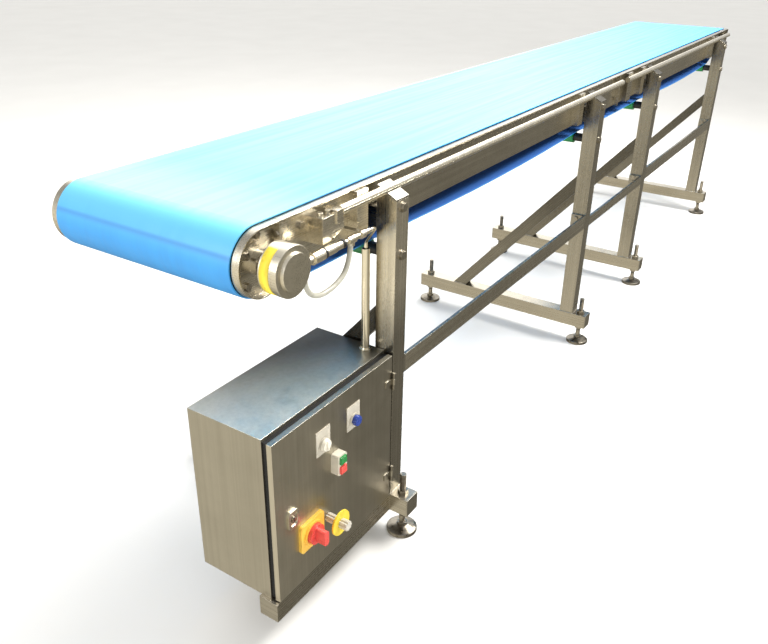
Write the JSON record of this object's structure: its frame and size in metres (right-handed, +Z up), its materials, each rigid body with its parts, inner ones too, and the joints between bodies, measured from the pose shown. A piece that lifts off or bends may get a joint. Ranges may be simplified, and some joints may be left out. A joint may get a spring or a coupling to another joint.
{
  "type": "belt conveyor section",
  "caption": "Hygienic stainless belt conveyor section with one-sided stands, side rail, drum drive, return rollers, levelling feet and a control box.",
  "frame": {"origin": "middle of the footprint, on the floor", "axes": "+X along the belt towards the tail end, +Z up; the legs, rail and control box are on the -Y side"},
  "size_m": [3.8649, 0.734, 0.944],
  "materials": {
    "stainless": "satin brushed",
    "stainless_smooth": "fine satin, round parts",
    "bolt_steel": "turned",
    "drum_steel": "turned",
    "belt_blue": "smooth, matt",
    "roller_green": "matt",
    "black_plastic": "matt",
    "gasket_rubber": "matt",
    "legend_white": "matt",
    "knob_grey": "satin",
    "button_blue": "gloss",
    "button_green": "gloss",
    "button_red": "gloss",
    "plate_yellow": "matt",
    "collar_yellow": "matt",
    "housing_cream": "matt",
    "cable_grey": "smooth",
    "junction_shell": "turned, with a yellow wrap"
  },
  "bodies": {
    "frame": {"base_beams": "stainless", "belt": "belt_blue", "box_body": "stainless", "braces": "stainless", "cable_glands": "bolt_steel", "conduits": "stainless_smooth", "cross_members": "stainless", "door_gasket": "gasket_rubber", "door_hinges": "stainless", "drum_axles": "drum_steel", "foot_nuts": "bolt_steel", "frame_bolts": "bolt_steel", "junction_box": "junction_shell", "junction_lid": "junction_shell", "leg_1": "stainless", "leg_2": "stainless", "leg_3": "stainless", "leg_4": "stainless", "loop_cable": "cable_grey", "mounting_plate": "stainless", "nose_plate_far": "stainless", "nose_plate_near": "stainless", "rail_brackets": "stainless", "roller_shafts": "black_plastic", "side_plate_far_1": "stainless", "side_plate_far_2": "stainless", "side_plate_near_1": "stainless", "side_plate_near_2": "stainless", "side_rails": "stainless_smooth", "slider_beds": "stainless", "stretchers": "stainless", "tail_plates": "stainless", "tube_end_plates": "stainless"},
    "drive_drum": {"drive_drum": "drum_steel"},
    "tail_drum": {"tail_drum": "drum_steel"},
    "return_roller_1": {"return_roller_1": "roller_green"},
    "return_roller_2": {"return_roller_2": "roller_green"},
    "return_roller_3": {"return_roller_3": "roller_green"},
    "return_roller_4": {"return_roller_4": "roller_green"},
    "foot_near_1": {"foot_near_1": "bolt_steel"},
    "foot_near_2": {"foot_near_2": "bolt_steel"},
    "foot_near_3": {"foot_near_3": "bolt_steel"},
    "foot_near_4": {"foot_near_4": "bolt_steel"},
    "foot_far_1": {"foot_far_1": "bolt_steel"},
    "foot_far_2": {"foot_far_2": "bolt_steel"},
    "foot_far_3": {"foot_far_3": "bolt_steel"},
    "foot_far_4": {"foot_far_4": "bolt_steel"},
    "door": {"box_door": "stainless", "legend_plates": "legend_white", "button_housing": "housing_cream", "isolator_plate": "plate_yellow", "lock_plate": "stainless_smooth"},
    "door_lock": {"door_lock": "bolt_steel"},
    "isolator_handle": {"isolator_handle": "button_red"},
    "white_knob": {"white_knob": "knob_grey"},
    "ribbed_knob": {"ribbed_knob": "knob_grey", "knob_collar": "collar_yellow"},
    "blue_button": {"blue_button": "button_blue"},
    "start_button": {"start_button": "button_green"},
    "stop_button": {"stop_button": "button_red"}
  },
  "joints": [
    {"name": "drive_drum_spin", "type": "hinge", "parent": "frame", "child": "drive_drum", "pos_m": [-1.8502, 0.009, 0.8717], "axis": [0, 1, 0], "continuous": true},
    {"name": "tail_drum_spin", "type": "hinge", "parent": "frame", "child": "tail_drum", "pos_m": [1.8952, 0.009, 0.9067], "axis": [0, 1, 0], "continuous": true},
    {"name": "return_roller_1_spin", "type": "hinge", "parent": "frame", "child": "return_roller_1", "pos_m": [-1.4625, 0.009, 0.772], "axis": [0, 1, 0], "continuous": true},
    {"name": "return_roller_2_spin", "type": "hinge", "parent": "frame", "child": "return_roller_2", "pos_m": [-0.1925, 0.009, 0.772], "axis": [0, 1, 0], "continuous": true},
    {"name": "return_roller_3_spin", "type": "hinge", "parent": "frame", "child": "return_roller_3", "pos_m": [0.4775, 0.009, 0.772], "axis": [0, 1, 0], "continuous": true},
    {"name": "return_roller_4_spin", "type": "hinge", "parent": "frame", "child": "return_roller_4", "pos_m": [1.6475, 0.009, 0.772], "axis": [0, 1, 0], "continuous": true},
    {"name": "foot_near_1_level", "type": "slide", "parent": "frame", "child": "foot_near_1", "axis": [0, 0, -1], "range_m": [-0.025, 0.03]},
    {"name": "foot_near_2_level", "type": "slide", "parent": "frame", "child": "foot_near_2", "axis": [0, 0, -1], "range_m": [-0.025, 0.03]},
    {"name": "foot_near_3_level", "type": "slide", "parent": "frame", "child": "foot_near_3", "axis": [0, 0, -1], "range_m": [-0.025, 0.03]},
    {"name": "foot_near_4_level", "type": "slide", "parent": "frame", "child": "foot_near_4", "axis": [0, 0, -1], "range_m": [-0.025, 0.03]},
    {"name": "foot_far_1_level", "type": "slide", "parent": "frame", "child": "foot_far_1", "axis": [0, 0, -1], "range_m": [-0.025, 0.03]},
    {"name": "foot_far_2_level", "type": "slide", "parent": "frame", "child": "foot_far_2", "axis": [0, 0, -1], "range_m": [-0.025, 0.03]},
    {"name": "foot_far_3_level", "type": "slide", "parent": "frame", "child": "foot_far_3", "axis": [0, 0, -1], "range_m": [-0.025, 0.03]},
    {"name": "foot_far_4_level", "type": "slide", "parent": "frame", "child": "foot_far_4", "axis": [0, 0, -1], "range_m": [-0.025, 0.03]},
    {"name": "door_hinge", "type": "hinge", "parent": "frame", "child": "door", "pos_m": [-1.4925, -0.31, 0.326], "axis": [0, 0, 1], "range_deg": [0, 110]},
    {"name": "door_lock_turn", "type": "hinge", "parent": "door", "child": "door_lock", "pos_m": [-1.8705, -0.303, 0.315], "axis": [0, 1, 0], "range_deg": [0, 90]},
    {"name": "isolator_turn", "type": "hinge", "parent": "door", "child": "isolator_handle", "pos_m": [-1.8145, -0.303, 0.241], "axis": [0, 1, 0], "range_deg": [0, 90]},
    {"name": "white_knob_turn", "type": "hinge", "parent": "door", "child": "white_knob", "pos_m": [-1.7625, -0.303, 0.442], "axis": [0, 1, 0], "range_deg": [-45, 45]},
    {"name": "ribbed_knob_turn", "type": "hinge", "parent": "door", "child": "ribbed_knob", "pos_m": [-1.7515, -0.303, 0.236], "axis": [0, 1, 0], "range_deg": [0, 90]},
    {"name": "blue_button_press", "type": "slide", "parent": "door", "child": "blue_button", "axis": [0, 1, 0], "range_m": [0, 0.004], "stiffness_N_per_m": 900, "springref_m": -0.002},
    {"name": "start_button_press", "type": "slide", "parent": "door", "child": "start_button", "axis": [0, 1, 0], "range_m": [0, 0.004], "stiffness_N_per_m": 900, "springref_m": -0.002},
    {"name": "stop_button_press", "type": "slide", "parent": "door", "child": "stop_button", "axis": [0, 1, 0], "range_m": [0, 0.004], "stiffness_N_per_m": 900, "springref_m": -0.002}
  ],
  "couplings": [
    {"joint": "tail_drum_spin", "follows": "drive_drum_spin", "ratio": 1.978},
    {"joint": "return_roller_1_spin", "follows": "drive_drum_spin", "ratio": -3.371},
    {"joint": "return_roller_2_spin", "follows": "drive_drum_spin", "ratio": -3.371},
    {"joint": "return_roller_3_spin", "follows": "drive_drum_spin", "ratio": -3.371},
    {"joint": "return_roller_4_spin", "follows": "drive_drum_spin", "ratio": -3.371}
  ]
}
